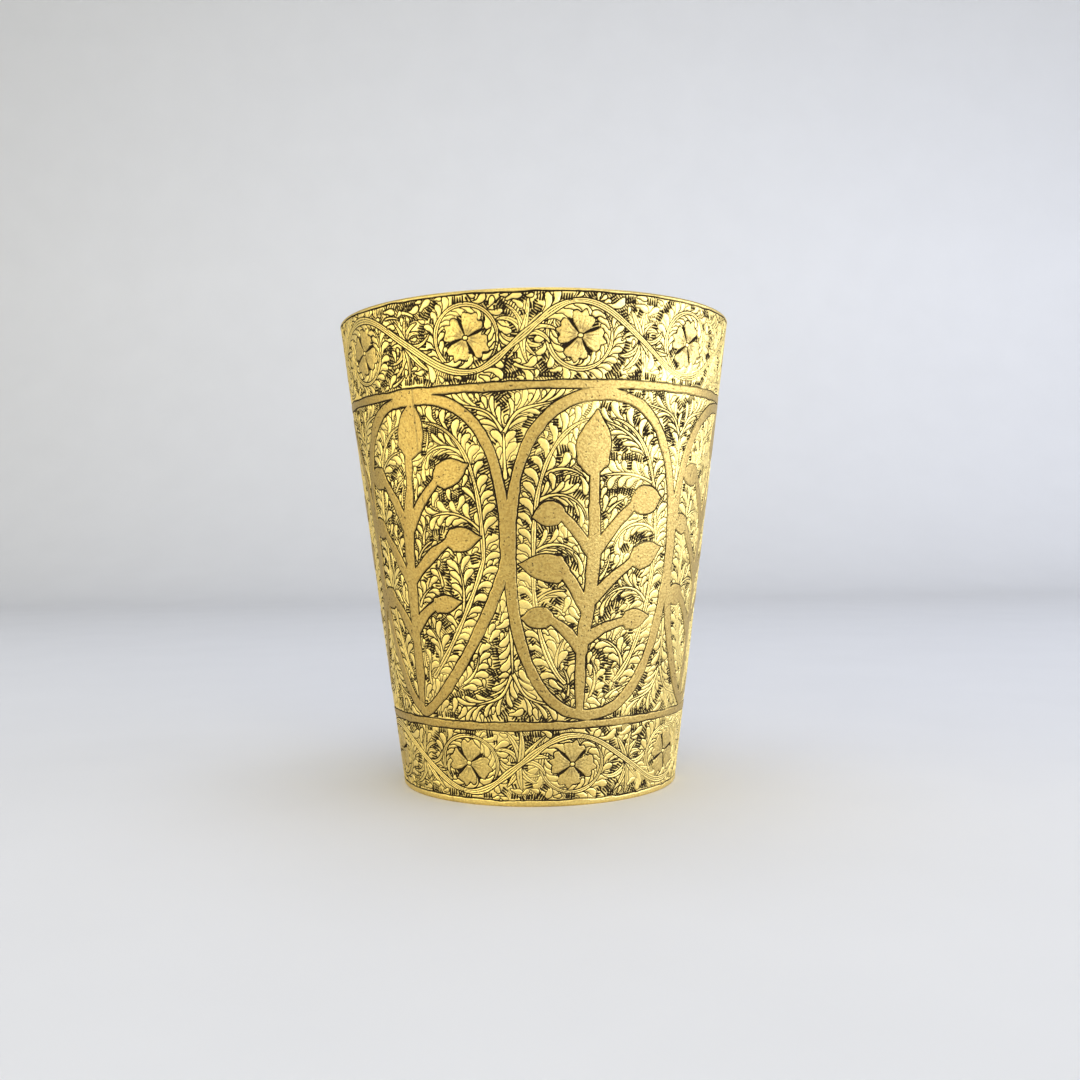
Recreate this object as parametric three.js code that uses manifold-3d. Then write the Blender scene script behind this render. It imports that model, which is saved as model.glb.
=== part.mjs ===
// A tapered, engraved brass drinking tumbler, built the way a sheet-metal worker builds one.
//
//   body_wall    sheet brass rolled into a cone, its two ends filed to a scarf that nearly meet
//   seam_braze   the brazing alloy that fills that scarf from foot to lip
//   base_disc    a flat sheet disc set a little way up inside the foot
//   base_braze   the ring of alloy that runs round the disc's edge, with a fillet above and below it
//
// Units are millimetres. +Z is up, and the origin is the centre of the circle the tumbler stands on.
// The front, where the middle of the decoration faces, looks along -Y.

import * as THREE from "three";
import { mergeVertices } from "three/addons/utils/BufferGeometryUtils.js";
import Module from "manifold-3d";

// Overall size: outside radii are those of the straight cone, carried down to the standing plane.
const HEIGHT = 95;
const LIP_RADIUS = 40.6;
const FOOT_RADIUS = 28.5;

// Wall sheet.
const WALL_THICKNESS = 1.2;
const LIP_ROUNDING = 0.45;
const FOOT_ROUNDING = 0.5;

// Two plain bands part the decoration into three zones. Each runs between a pair of V-cut ring grooves.
const UPPER_BAND_HEIGHT = 78.2;
const LOWER_BAND_HEIGHT = 15.6;
const GROOVE_SPACING = 2;
const GROOVE_WIDTH = 0.6;
const GROOVE_DEPTH = 0.3;

// Base disc.
const DISC_THICKNESS = 1.5;
const DISC_RECESS = 1.6;

// Brazed joints. A real joint touches its sheets; the clearances keep the solids apart.
const SEAM_ANGLE = THREE.MathUtils.degToRad(-37);
const SEAM_SCARF = THREE.MathUtils.degToRad(45);
const SEAM_WIDTH = 0.3;
const SEAM_CLEARANCE = 0.3;
const DISC_GAP = 0.25;
const FILLET_LEG = 0.9;
const BASE_CLEARANCE = 0.02;

const AROUND = 96;

const TAPER = (LIP_RADIUS - FOOT_RADIUS) / HEIGHT;
const TILT = Math.atan(TAPER);
const WALL_ACROSS = WALL_THICKNESS / Math.cos(TILT);

const outerRadius = (z) => FOOT_RADIUS + TAPER * z;
const innerRadius = (z) => outerRadius(z) - WALL_ACROSS;

const wasm = await Module();
wasm.setup();

// ---- materials ----------------------------------------------------------------------------------

const wallBrass = new THREE.MeshStandardMaterial({ color: 0xc9a94e, roughness: 0.38, metalness: 1 });
const discBrass = new THREE.MeshStandardMaterial({ color: 0xb08f42, roughness: 0.5, metalness: 1 });
const brazeAlloy = new THREE.MeshStandardMaterial({ color: 0xa98a4a, roughness: 0.55, metalness: 1 });

// ---- small geometry helpers ---------------------------------------------------------------------

// A closed profile of [radius, height] points, counter-clockwise, turned about +Z.
function turned(profile) {
  const points = [...profile, profile[0]].map(([r, z]) => new THREE.Vector2(r, z));
  return new THREE.LatheGeometry(points, AROUND).rotateX(Math.PI / 2);
}

// The manifold-3d solid of a closed three.js geometry.
function solidOf(geometry) {
  const plain = geometry.clone();
  plain.deleteAttribute("normal");
  plain.deleteAttribute("uv");
  const merged = mergeVertices(plain, 1e-4);
  return new wasm.Manifold(
    new wasm.Mesh({
      numProp: 3,
      vertProperties: new Float32Array(merged.attributes.position.array),
      triVerts: new Uint32Array(merged.index.array),
    }),
  );
}

// The three.js geometry of a manifold-3d solid.
function geometryOf(solid) {
  const mesh = solid.getMesh();
  const geometry = new THREE.BufferGeometry();
  geometry.setAttribute("position", new THREE.BufferAttribute(mesh.vertProperties, 3));
  geometry.setIndex(new THREE.BufferAttribute(mesh.triVerts, 1));
  geometry.computeVertexNormals();
  return geometry;
}

function named(name, geometry, material) {
  const mesh = new THREE.Mesh(geometry, material);
  mesh.name = name;
  return mesh;
}

// ---- wall ---------------------------------------------------------------------------------------

// A V groove cut into the outside of the cone at height z, as three profile points from below.
function ringGroove(z) {
  const half = GROOVE_WIDTH / 2;
  return [
    [outerRadius(z - half), z - half],
    [outerRadius(z) - GROOVE_DEPTH, z],
    [outerRadius(z + half), z + half],
  ];
}

// The two grooves either side of a plain band.
function bandGrooves(centre) {
  return [...ringGroove(centre - GROOVE_SPACING / 2), ...ringGroove(centre + GROOVE_SPACING / 2)];
}

// A rounded corner as points on a circular arc, from one angle to another in degrees.
function corner(r, z, radius, from, to, steps = 4) {
  return Array.from({ length: steps + 1 }, (_, i) => {
    const angle = THREE.MathUtils.degToRad(from + ((to - from) * i) / steps);
    return [r + radius * Math.cos(angle), z + radius * Math.sin(angle)];
  });
}

function wallProfile() {
  const footCentre = outerRadius(FOOT_ROUNDING) - FOOT_ROUNDING;
  const lipTop = HEIGHT - LIP_ROUNDING;
  return [
    [innerRadius(0), 0],
    ...corner(footCentre, FOOT_ROUNDING, FOOT_ROUNDING, -90, 0),
    ...bandGrooves(LOWER_BAND_HEIGHT),
    ...bandGrooves(UPPER_BAND_HEIGHT),
    ...corner(outerRadius(lipTop) - LIP_ROUNDING, lipTop, LIP_ROUNDING, 0, 90),
    ...corner(innerRadius(lipTop) + LIP_ROUNDING, lipTop, LIP_ROUNDING, 90, 180),
  ];
}

// A thin upright slab that follows the wall's slope at the seam and crosses its thickness at the scarf angle.
function seamSlab(thickness) {
  const radialReach = 6 * WALL_THICKNESS;
  const slab = new THREE.BoxGeometry(thickness, radialReach, 1.5 * HEIGHT);
  slab.rotateZ(SEAM_SCARF);
  slab.rotateX(TILT);
  slab.translate(0, -innerRadius(HEIGHT / 2) - WALL_ACROSS / 2, HEIGHT / 2);
  slab.rotateZ(SEAM_ANGLE);
  return slab;
}

const wholeWall = solidOf(turned(wallProfile()));
const wallSolid = wholeWall.subtract(solidOf(seamSlab(SEAM_WIDTH + 2 * SEAM_CLEARANCE)));
const seamSolid = wholeWall.intersect(solidOf(seamSlab(SEAM_WIDTH)));

// ---- base ---------------------------------------------------------------------------------------

const discBottom = DISC_RECESS;
const discTop = DISC_RECESS + DISC_THICKNESS;
const discEdge = (z) => innerRadius(z) - DISC_GAP;

const discProfile = [
  [0, discBottom],
  [discEdge(discBottom), discBottom],
  [discEdge(discTop), discTop],
  [0, discTop],
];

// The alloy fills the gap round the disc's edge and wets both corners.
function brazeProfile() {
  const wallSide = (z) => innerRadius(z) - BASE_CLEARANCE;
  const discSide = (z) => discEdge(z) + BASE_CLEARANCE;
  const above = discTop + BASE_CLEARANCE;
  const below = discBottom - BASE_CLEARANCE;
  return [
    [wallSide(below - FILLET_LEG), below - FILLET_LEG],
    [wallSide(above + FILLET_LEG), above + FILLET_LEG],
    [discEdge(discTop) - FILLET_LEG, above],
    [discSide(discTop), above],
    [discSide(discBottom), below],
    [discEdge(discBottom) - FILLET_LEG, below],
  ];
}

// ---- assembly -----------------------------------------------------------------------------------

const tumbler = new THREE.Group();
tumbler.add(
  named("body_wall", geometryOf(wallSolid), wallBrass),
  named("seam_braze", geometryOf(seamSolid), brazeAlloy),
  named("base_disc", turned(discProfile), discBrass),
  named("base_braze", turned(brazeProfile()), brazeAlloy),
);

export default tumbler;
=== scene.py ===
"""An engraved brass tumbler on a pale floor.

The engraving is drawn on a canvas that wraps once round the wall, and each point of the canvas becomes one
vertex of the wall's outside, so that every cut is real geometry. Lengths are in millimetres and angles round
the wall in degrees from the front (-Y) towards +X, until a mesh is made, which is in metres.
"""

import math

import bpy
import numpy as np
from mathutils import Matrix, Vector


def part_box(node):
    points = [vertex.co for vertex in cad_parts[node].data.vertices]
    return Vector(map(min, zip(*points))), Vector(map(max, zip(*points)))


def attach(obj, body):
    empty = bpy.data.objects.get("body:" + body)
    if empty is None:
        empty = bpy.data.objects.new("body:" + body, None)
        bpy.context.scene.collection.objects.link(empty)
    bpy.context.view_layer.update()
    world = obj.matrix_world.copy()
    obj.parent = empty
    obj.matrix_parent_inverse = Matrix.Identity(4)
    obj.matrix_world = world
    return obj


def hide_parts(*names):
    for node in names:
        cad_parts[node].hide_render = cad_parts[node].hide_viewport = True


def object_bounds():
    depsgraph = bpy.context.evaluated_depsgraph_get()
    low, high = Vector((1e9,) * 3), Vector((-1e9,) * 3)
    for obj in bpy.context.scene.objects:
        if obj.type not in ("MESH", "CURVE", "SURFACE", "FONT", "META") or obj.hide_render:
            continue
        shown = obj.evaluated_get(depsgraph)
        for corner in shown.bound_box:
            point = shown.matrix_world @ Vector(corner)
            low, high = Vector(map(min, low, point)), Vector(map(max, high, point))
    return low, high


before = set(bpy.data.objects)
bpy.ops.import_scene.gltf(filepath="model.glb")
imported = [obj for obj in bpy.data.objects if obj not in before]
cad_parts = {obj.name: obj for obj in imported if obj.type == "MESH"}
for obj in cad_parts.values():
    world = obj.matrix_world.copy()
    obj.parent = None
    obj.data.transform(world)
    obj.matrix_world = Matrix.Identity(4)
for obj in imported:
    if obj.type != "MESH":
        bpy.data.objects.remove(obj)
cad_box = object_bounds()

MM = 0.001


# ---- sizes taken from the frame ----

def points_of(node):
    """A CAD node's vertices as (radius, height) in millimetres."""
    co = np.array([v.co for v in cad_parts[node].data.vertices]) / MM
    return np.hypot(co[:, 0], co[:, 1]), co[:, 2]


def cone_of_the_wall():
    """Radius at the standing plane, and the widening per millimetre of height, of the wall's outside."""
    radius, height = points_of("body_wall")
    near_foot = height < 1.0
    low = np.argmax(np.where(near_foot, radius, 0))
    high = np.argmax(radius)
    taper = (radius[high] - radius[low]) / (height[high] - height[low])
    return radius[low] - taper * height[low], taper


FOOT_RADIUS, TAPER = cone_of_the_wall()
TILT = math.atan(TAPER)
HEIGHT = cad_box[1].z / MM
DISC_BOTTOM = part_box("base_disc")[0].z / MM
DISC_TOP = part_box("base_disc")[1].z / MM

WALL = 1.2
WALL_ACROSS = WALL / math.cos(TILT)
LIP_ROUNDING = 0.45
FOOT_ROUNDING = 0.5
DISC_GAP = 0.25
FILLET = 0.9
CLEAR = 0.02
SEAM_ANGLE = -37.0
SEAM_SQUEEZE = 0.015


def outer_radius(z):
    """Radius of the wall's outside at a height."""
    return FOOT_RADIUS + TAPER * z


def inner_radius(z):
    """Radius of the wall's inside at a height."""
    return outer_radius(z) - WALL_ACROSS


def disc_edge(z):
    """Radius of the base disc's edge at a height."""
    return inner_radius(z) - DISC_GAP


# ---- layout of the decoration ----

UPPER_BAND, LOWER_BAND = 78.2, 15.6
BAND_HALF = 0.7
BAND_WANDER = 0.55
LIP_MARGIN, FOOT_MARGIN = 94.4, 1.15

# How satin the worn lip and foot still are, from 0 (bright) to 1.
WORN_EDGE = 0.25

# Angles of the borders that medallions share, listed one by one, and each outline's distance from them.
BORDERS = [-66.0, -9.6, 46.9, 108.0, 170.0, 232.0]
BORDER_INSET = 0.6
MEDALLION_TOP, MEDALLION_BOTTOM = 76.5, 17.3
BORDER_HALF = 0.98
VINE_INSET = 4.3

# Heights of the spray between two medallions: its free tip, fork and arms' ends. The arms turn, then end,
# this many degrees from its middle.
SPANDREL_ABOVE = (61.5, 69.5, 75.0)
SPANDREL_BELOW = (34.5, 25.5, 19.2)
ARM_TURN, ARM_END = 4.5, 14

# Angles of the frieze flowers, listed from the back of the tumbler, where the vine's ends meet.
TOP_FLOWERS = [154.0, 190.0, 228.0, 266.0, 303.0, 341.0, 371.5, 406.5, 442.0, 478.0]
FOOT_FLOWERS = [188.0, 238.0, 288.0, 332.0, 371.0, 415.0, 459.0, 503.0]

# How far the frieze vines swing up and down, and their flowers' petals.
TOP_SWING, FOOT_SWING = 6.1, 5.5
TOP_PETAL, FOOT_PETAL = 4.3, 4.2

# Gaps from a flower to its scroll and to its combs, and from plain brass to the combs along it.
RING_GAP, COMB_GAP = 1.75, 0.7
ROW_GAP, LIP_ROW_GAP = 0.9, 1.0

# ---- canvas ----

COLUMNS = 1840
ROW_PITCH = 0.118
ROWS = round(HEIGHT / ROW_PITCH) + 1
STEP = math.tau / COLUMNS
SEAM_CELLS = 2
START = math.radians(SEAM_ANGLE) + STEP * SEAM_CELLS / 2

# Width of a shape's soft edge, and of the sloping sides of a cut and of its patina.
EDGE = 0.14
GROOVE_SLOPE = 0.07
SHADOW_FADE = 0.1

# Ground this close to a shape, a cut or plain brass counts as taken. FAR is beyond every margin.
SHAPE_CLEAR, CUT_CLEAR, PLAIN_CLEAR = 0.14, 0.1, 0.18
FAR = 9.0

canvas_z = np.linspace(0, HEIGHT, ROWS)
canvas_radius = outer_radius(canvas_z)
canvas_theta = START + STEP * np.arange(COLUMNS)

relief = np.zeros((ROWS, COLUMNS))
# Dark fill: patina in the cuts, with painted shade on the flower petals and towards the left of the front.
patina_and_shade = np.zeros((ROWS, COLUMNS))
plain = np.zeros((ROWS, COLUMNS))
taken = np.zeros((ROWS, COLUMNS))


def noise(period, seed):
    """Smooth noise from -1 to 1 over the canvas, joined at the seam, with features about period long."""
    rng = np.random.default_rng(seed)
    across = max(4, round(math.tau * outer_radius(HEIGHT / 2) / period))
    up = max(3, round(HEIGHT / period) + 2)
    lattice = rng.uniform(-1, 1, (up + 1, across))

    def blend(position):
        whole = np.floor(position).astype(int)
        part = position - whole
        return whole, part * part * (3 - 2 * part)

    row, row_part = blend(np.linspace(0, up - 1.001, ROWS))
    column, column_part = blend(np.arange(COLUMNS) * across / COLUMNS)
    after = (column + 1) % across
    low = lattice[row][:, column] * (1 - column_part) + lattice[row][:, after] * column_part
    high = lattice[row + 1][:, column] * (1 - column_part) + lattice[row + 1][:, after] * column_part
    return low * (1 - row_part[:, None]) + high * row_part[:, None]


# How hard the graver was pressed, 0 to about 1, with painted shade added: a gradient that cuts deeper and
# fills blacker, most at the left of the front.
painted_shade_left = 0.27 * np.cos(canvas_theta - math.radians(-75))[None, :]
pressure_and_shade = np.clip(0.52 + 0.42 * noise(5.0, seed=11) + painted_shade_left, 0, 1.1)

HATCH_PITCH = 0.46


def hatch_the_ground():
    """Covers the canvas with close cut lines, level between the plain bands and upright in the friezes. They
    waver, lean one way or the other in patches, and leave some nearly bare."""
    waver = 1.6 * noise(8.0, seed=12) + 0.4 * noise(2.5, seed=13)
    lean = 0.55 * np.sign(noise(4.5, seed=15)) + 0.12
    across = canvas_theta[None, :] * outer_radius(HEIGHT / 2)
    up = canvas_z[:, None]
    between = (up > LOWER_BAND) & (up < UPPER_BAND)
    phase = np.where(between, up + lean * across, across + lean * up) / HATCH_PITCH + waver
    # Lines run wider and blacker where the graver pressed harder, and towards the left of the front as
    # painted shade.
    line = np.clip((np.cos(math.tau * phase) - 0.25 + 0.55 * pressure_and_shade) / 0.6, 0, 1)
    bare = np.clip((noise(2.6, seed=14) + 0.22) / 0.25, 0, 1)
    relief[:] = -0.07 - 0.18 * line * (1 - bare)
    patina_and_shade[:] = 0.10 + 0.62 * line * (1 - bare)


def segments(path):
    """A path of (angle, height, half width) rows as the pairs of rows that each stretch joins."""
    path = np.asarray(path, float)
    return np.hstack([path[:-1], path[1:]])


def window(strokes, reach):
    """First row and column of the canvas window that holds some strokes and reach round them, each with
    the one after the last."""
    theta, z = np.radians(strokes[:, [0, 3]]), strokes[:, [1, 4]]
    turn = reach / outer_radius(max(z.min() - reach, 0))
    first_row = min(max(int((z.min() - reach) / HEIGHT * (ROWS - 1)), 0), ROWS - 2)
    end_row = min(max(int((z.max() + reach) / HEIGHT * (ROWS - 1)) + 2, first_row + 2), ROWS)
    first_column = int(math.floor((theta.min() - turn - START) / STEP))
    end_column = int(math.ceil((theta.max() + turn - START) / STEP)) + 1
    return first_row, end_row, first_column, end_column


def distance_to_few(strokes, rows, columns):
    """Signed distance to the nearest of a few tapered strokes, and how far left of its middle a point is."""
    theta, z, half = np.radians(strokes[:, [0, 3]]), strokes[:, [1, 4]], strokes[:, [2, 5]]
    radius = canvas_radius[rows][None, :, None]
    middle = theta[0, 0]
    start_x = (theta[:, 0] - middle)[:, None, None] * radius
    run_x = (theta[:, 1] - theta[:, 0])[:, None, None] * radius
    run_y = (z[:, 1] - z[:, 0])[:, None, None]
    from_x = (START + STEP * columns - middle)[None, None, :] * radius - start_x
    from_y = canvas_z[rows][None, :, None] - z[:, 0][:, None, None]
    along = np.clip((from_x * run_x + from_y * run_y) / (run_x**2 + run_y**2 + 1e-9), 0, 1)
    off = np.hypot(from_x - along * run_x, from_y - along * run_y)
    width = half[:, 0][:, None, None] + (half[:, 1] - half[:, 0])[:, None, None] * along
    distance = off - width
    nearest = distance.argmin(0)[None]
    left = np.sign(run_x * from_y - run_y * from_x) * off / (width + 1e-6)

    def pick(values):
        return np.take_along_axis(np.broadcast_to(values, distance.shape), nearest, 0)[0]

    return pick(distance), np.clip(pick(left), -1, 1)


def distance_to(strokes, margin=0.6, at_once=6):
    """The canvas window round some tapered strokes, and there the signed distance to the nearest one
    (negative inside it, FAR beyond the margin) and how far to the left or right of its middle a point is."""
    low, high, first, end = window(strokes, strokes[:, [2, 5]].max() + margin)
    distance = np.full((high - low, end - first), FAR)
    side = np.zeros_like(distance)
    for start in range(0, len(strokes), at_once):
        few = strokes[start:start + at_once]
        row, row_end, column, column_end = window(few, few[:, [2, 5]].max() + margin)
        near, left = distance_to_few(few, np.arange(row, row_end), np.arange(column, column_end))
        spot = np.s_[row - low:row_end - low, column - first:column_end - first]
        closer = near < distance[spot]
        distance[spot][closer] = near[closer]
        side[spot][closer] = left[closer]
    return np.ix_(np.arange(low, high), np.arange(first, end) % COLUMNS), distance, side


def union_distance(paths):
    """Signed distance over the whole canvas to the union of some paths."""
    whole = np.full((ROWS, COLUMNS), FAR)
    for path in paths:
        area, distance, _ = distance_to(segments(path), 1.2)
        whole[area] = np.minimum(whole[area], distance)
    return whole


def lay(area, distance, level, depth, width, dark, is_plain=0.0):
    """Lays one shape on the canvas: its own surface inside, and a V cut just outside its edge."""
    inside = np.clip(0.5 - distance / EDGE, 0, 1)
    # Cuts run deeper and their fill blacker where the graver pressed harder, and towards the left of the
    # front as painted shade.
    press_and_shade = 0.55 + 0.75 * pressure_and_shade[area]
    off = np.abs(distance - width / 2)
    groove = np.clip(1 - off / (width / 2 + GROOVE_SLOPE), 0, 1)
    shadow = np.clip((width / 2 + 0.09 * press_and_shade - 0.03 - off) / SHADOW_FADE, 0, 1)
    surface = relief[area] * (1 - inside) + level * inside
    relief[area] = np.minimum(surface, -depth * press_and_shade * groove)
    patina_and_shade[area] = np.maximum(patina_and_shade[area] * (1 - inside), np.minimum(dark * press_and_shade, 1) * shadow)
    plain[area] = plain[area] * (1 - inside) + is_plain * inside
    taken[area] = np.maximum(taken[area], distance < SHAPE_CLEAR)


def cut(strokes, depth, dark):
    """Cuts tapered V lines into whatever is on the canvas."""
    area, distance, _ = distance_to(strokes, 0.3)
    groove = np.clip(0.6 - distance / EDGE, 0, 1)
    relief[area] = np.minimum(relief[area], -depth * groove)
    patina_and_shade[area] = np.maximum(patina_and_shade[area], dark * groove)
    taken[area] = np.maximum(taken[area], distance < CUT_CLEAR)


# ---- drawing with a graver ----

def sweep(start, heading, length, bend, count=7, late=1.0):
    """Points of a curve that starts at (angle, height), sets off at heading and turns by bend degrees.
    The larger late is, the longer it runs straight first."""
    angle, z = start
    points = [(angle, z)]
    for step in range(count - 1):
        direction = math.radians(heading + bend * ((step + 0.5) / (count - 1))**late)
        angle += math.degrees(math.cos(direction) * length / (count - 1) / outer_radius(z))
        z += math.sin(direction) * length / (count - 1)
        points.append((angle, z))
    return np.array(points)


def smooth(points, count=30):
    """A smooth curve through a few rows of numbers, such as (angle, height) or (angle, height, width)."""
    points = np.asarray(points, float)
    knots = np.vstack([2 * points[0] - points[1], points, 2 * points[-1] - points[-2]])
    curve = []
    for s in np.linspace(0, len(points) - 1.0001, count):
        k = int(s)
        t = s - k
        a, b, c, d = knots[k:k + 4]
        curve.append(0.5 * (2 * b + (c - a) * t + (2 * a - 5 * b + 4 * c - d) * t**2
                            + (3 * b - a - 3 * c + d) * t**3))
    return np.array(curve)


def with_width(points, start, end):
    """A path whose half width runs evenly from start to end."""
    points = np.asarray(points, float)
    return np.column_stack([points[:, :2], np.linspace(start, end, len(points))])


def evenly(path, spacing):
    """(angle, height, heading) at even spacing along a path of (angle, height) points."""
    path = np.asarray(path, float)[:, :2]
    x = np.radians(path[:, 0]) * outer_radius(path[:, 1])
    run = np.hypot(np.diff(x), np.diff(path[:, 1]))
    at = np.concatenate([[0], np.cumsum(run)])
    stations = np.arange(spacing / 2, at[-1], spacing)
    ahead, behind = np.minimum(stations + 0.3, at[-1]), np.maximum(stations - 0.3, 0)
    dz = np.interp(ahead, at, path[:, 1]) - np.interp(behind, at, path[:, 1])
    turn = np.radians(np.interp(ahead, at, path[:, 0]) - np.interp(behind, at, path[:, 0]))
    z = np.interp(stations, at, path[:, 1])
    return zip(np.interp(stations, at, path[:, 0]), z, np.degrees(np.arctan2(dz, turn * outer_radius(z))))


COMMA_SWELL = [0.42, 0.48, 0.56, 0.74, 0.95, 1.0, 0.7]


def comma_path(root, heading, length, width, bend):
    """A comma-shaped leaf: a thin stalk that swells into a round head as it turns away."""
    return np.column_stack([sweep(root, heading, length, bend, late=1.5), width / 2 * np.array(COMMA_SWELL)])


def draw_comma(path):
    """Outlines one comma leaf. Its face is slightly domed and leans so that the upper flank shines."""
    area, distance, side = distance_to(segments(path))
    rightward = 1.0 if path[-1, 0] > path[0, 0] else -1.0
    level = -0.03 - 0.05 * side**2 + 0.03 * side * rightward
    lay(area, distance, level, depth=0.24, width=0.15, dark=0.95)


def room_for(path, allowed=0.05, skip=0):
    """True if the canvas is free, apart from a small share, where the path would be drawn."""
    area, distance, _ = distance_to(segments(path[skip:]), 0.1)
    inside = distance < 0.05
    return inside.any() and taken[area][inside].mean() <= allowed


COMB_PITCH = 0.5


def draw_comb(centre, heading, count, length, rng, only_if_free=False):
    """A block of short parallel bars, cut deep and filled black. heading is the way the bars run."""
    angle, z = centre
    radius = outer_radius(z)
    slant = math.radians(heading + rng.uniform(-10, 10))
    across = math.radians(heading + 90)
    bars = []
    for number in range(count):
        shift = (number - (count - 1) / 2) * COMB_PITCH * rng.uniform(0.92, 1.08)
        own = length * rng.uniform(0.7, 1.15)
        x, y = math.cos(across) * shift, math.sin(across) * shift
        dx, dy = math.cos(slant) * own, math.sin(slant) * own
        bars.append([angle + math.degrees((x - dx / 2) / radius), z + y - dy / 2, rng.uniform(0.16, 0.21),
                     angle + math.degrees((x + dx / 2) / radius), z + y + dy / 2, rng.uniform(0.06, 0.12)])
    bars = np.array(bars)
    if only_if_free:
        area, distance, _ = distance_to(bars, 0.1)
        if taken[area][distance < 0].mean() > 0.3:
            return
    cut(bars, depth=0.36, dark=rng.uniform(0.92, 1.0))


def draw_ribs(path, half_width, ribs):
    """A stem of parallel ribs: one bright ribbon, pointed at its end, parted lengthwise by dark lines. It
    swells and thins a little as a hand-cut stem does."""
    taper = np.append(np.linspace(1, 0.6, len(path) - 3), [0.5, 0.36, 0.15]) * half_width
    taper *= 0.88 + 0.2 * np.sin(np.radians(path[:, 0]) * 19 + path[:, 1] * 0.9)
    ribbon = np.column_stack([path[:, :2], taper])
    area, distance, side = distance_to(segments(ribbon))
    lay(area, distance, level=-0.03, depth=0.24, width=0.16, dark=1.0)
    inside = distance < -0.03
    for line in np.linspace(-1, 1, ribs + 1)[1:-1]:
        off = np.abs(side - line) * half_width
        near = np.clip((0.13 - off) / 0.07, 0, 1) * inside
        relief[area] = np.minimum(relief[area], -0.16 * near)
        patina_and_shade[area] = np.maximum(patina_and_shade[area], 0.7 * near)


# Kinds of leaf: (spacing along the stem, length, width, angle off the stem, least and most bend).
ROUND_HEADED = (2.3, 3.0, 1.3, 16, 45, 75)
FERN = (1.9, 3.7, 0.9, 12, 36, 60)
SMALL = (2.15, 2.6, 1.25, 17, 50, 78)
VINE_LEAF = (2.6, 3.3, 1.4, 18, 55, 85)


def draw_feather(path, rng, kind=ROUND_HEADED, sides=(1, -1), half_width=0.36, comb_length=1.3, ribs=1,
                 crowding=0.14):
    """A stem with leaves peeling off it, and a comb of black bars beyond each leaf's back. side 1 is the
    stem's left. A leaf is left out where more than the crowding share of its place is taken."""
    pitch, length, width, lean, least_bend, most_bend = kind
    leaves = []
    for side in sides:
        for angle, z, heading in evenly(path, pitch):
            size = length * rng.uniform(0.86, 1.1)
            out = heading + side * (lean + rng.uniform(-4, 4))
            root = sweep((angle, z), heading + 90 * side, half_width * 0.8, 0, count=2)[-1]
            leaf = comma_path(root, out, size, width * rng.uniform(0.85, 1.12),
                              side * rng.uniform(least_bend, most_bend))
            if room_for(leaf, crowding, skip=3):
                leaves.append((leaf, heading, side))
    for leaf, heading, side in leaves:
        spot = sweep(leaf[-1, :2], heading + side * 118, 0.95 * width, 0, count=2)[-1]
        draw_comb(spot, heading + side * 84, int(rng.integers(3, 6)), comb_length, rng, only_if_free=True)
    for leaf, _, _ in leaves:
        draw_comma(leaf)
    draw_ribs(path, half_width, ribs)


def try_spray(root, headings, lengths, bends, rng, half_corridor=0.75):
    """The first curved path from root whose corridor is free, trying long ones first, or None."""
    for length in lengths:
        order = rng.permutation(len(headings) * len(bends))
        for pick in order:
            heading = headings[pick % len(headings)] + rng.uniform(-8, 8)
            bend = bends[pick // len(headings)] * length / lengths[0]
            points = sweep(root, heading, length, bend, count=10)
            corridor = with_width(points, half_corridor, half_corridor)
            if room_for(corridor, 0.06, skip=3):
                return points
    return None


# ---- medallions ----

# Directions round the oval, in degrees from its right, where the two vines start and end.
RIGHT_VINE, LEFT_VINE = (-66, 84), (246, 100)

# Half width in degrees of the medallion that plants are typed for.
TYPED_HALF = 27.6


class Medallion:
    """One oval field between two shared borders. A leaning one comes to a point at its lower left."""

    def __init__(self, left, right, leaning, seed):
        self.centre = (left + right) / 2
        self.half = (right - left) / 2 - BORDER_INSET
        self.leaning = leaning
        self.rng = np.random.default_rng(seed)
        self.middle = (MEDALLION_TOP + MEDALLION_BOTTOM) / 2
        self.half_height = (MEDALLION_TOP - MEDALLION_BOTTOM) / 2
        self.upper_power = 2.7 if leaning else 2.3
        self.lower_power = 1.5 if leaning else 2.2
        self.skew = -9.0 if leaning else -2.0

    def outline(self, first, last, inset=0.0, count=40):
        """(angle, height) points of the oval from one direction to another, counter-clockwise."""
        shrink_x = 1 - inset / (math.radians(self.half) * outer_radius(self.middle))
        shrink_z = 1 - inset / self.half_height
        points = []
        for direction in np.radians(np.linspace(first, last, count)):
            c, s = math.cos(direction), math.sin(direction)
            power = 2 / (self.upper_power if s > 0 else self.lower_power)
            across = math.copysign(abs(c)**power, c)
            up = math.copysign(abs(s)**power, s)
            lean = self.skew * max(-up, 0)
            points.append((self.centre + self.half * across * shrink_x + lean,
                           self.middle + self.half_height * up * shrink_z))
        return np.array(points)

    def border(self):
        return with_width(self.outline(-90, 270, count=73), BORDER_HALF, BORDER_HALF)

    def place(self, points):
        """Points typed for a medallion of the usual width, put in this one."""
        points = np.array(points, float)
        points[:, 0] = self.centre + points[:, 0] * self.half / TYPED_HALF
        return points

    def vines(self):
        """The two vines that rise from the stem's foot inside the border, right then left."""
        return self.outline(*RIGHT_VINE, VINE_INSET), self.outline(*LEFT_VINE, VINE_INSET)


# Stems: (angle from the medallion's middle, height, half width).
STEM_UPRIGHT = [(-5.4, 17.2, 0.65), (-5.4, 24, 0.85), (-5.1, 30, 1.05), (-3.8, 35, 1.2), (-2.6, 40, 1.15),
                (-1.9, 46, 1.35), (-1.8, 52, 1.1), (-2.1, 58, 0.95), (-2.1, 63, 0.85)]
STEM_LEANING = [(-10.5, 17.2, 0.7), (-9.6, 25, 1.2), (-9.2, 32, 1.1), (-8.5, 40, 1.3), (-7.8, 47, 1.35),
                (-6.6, 54, 1.3), (-4.6, 60, 0.85), (-3.4, 67, 0.75)]

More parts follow.
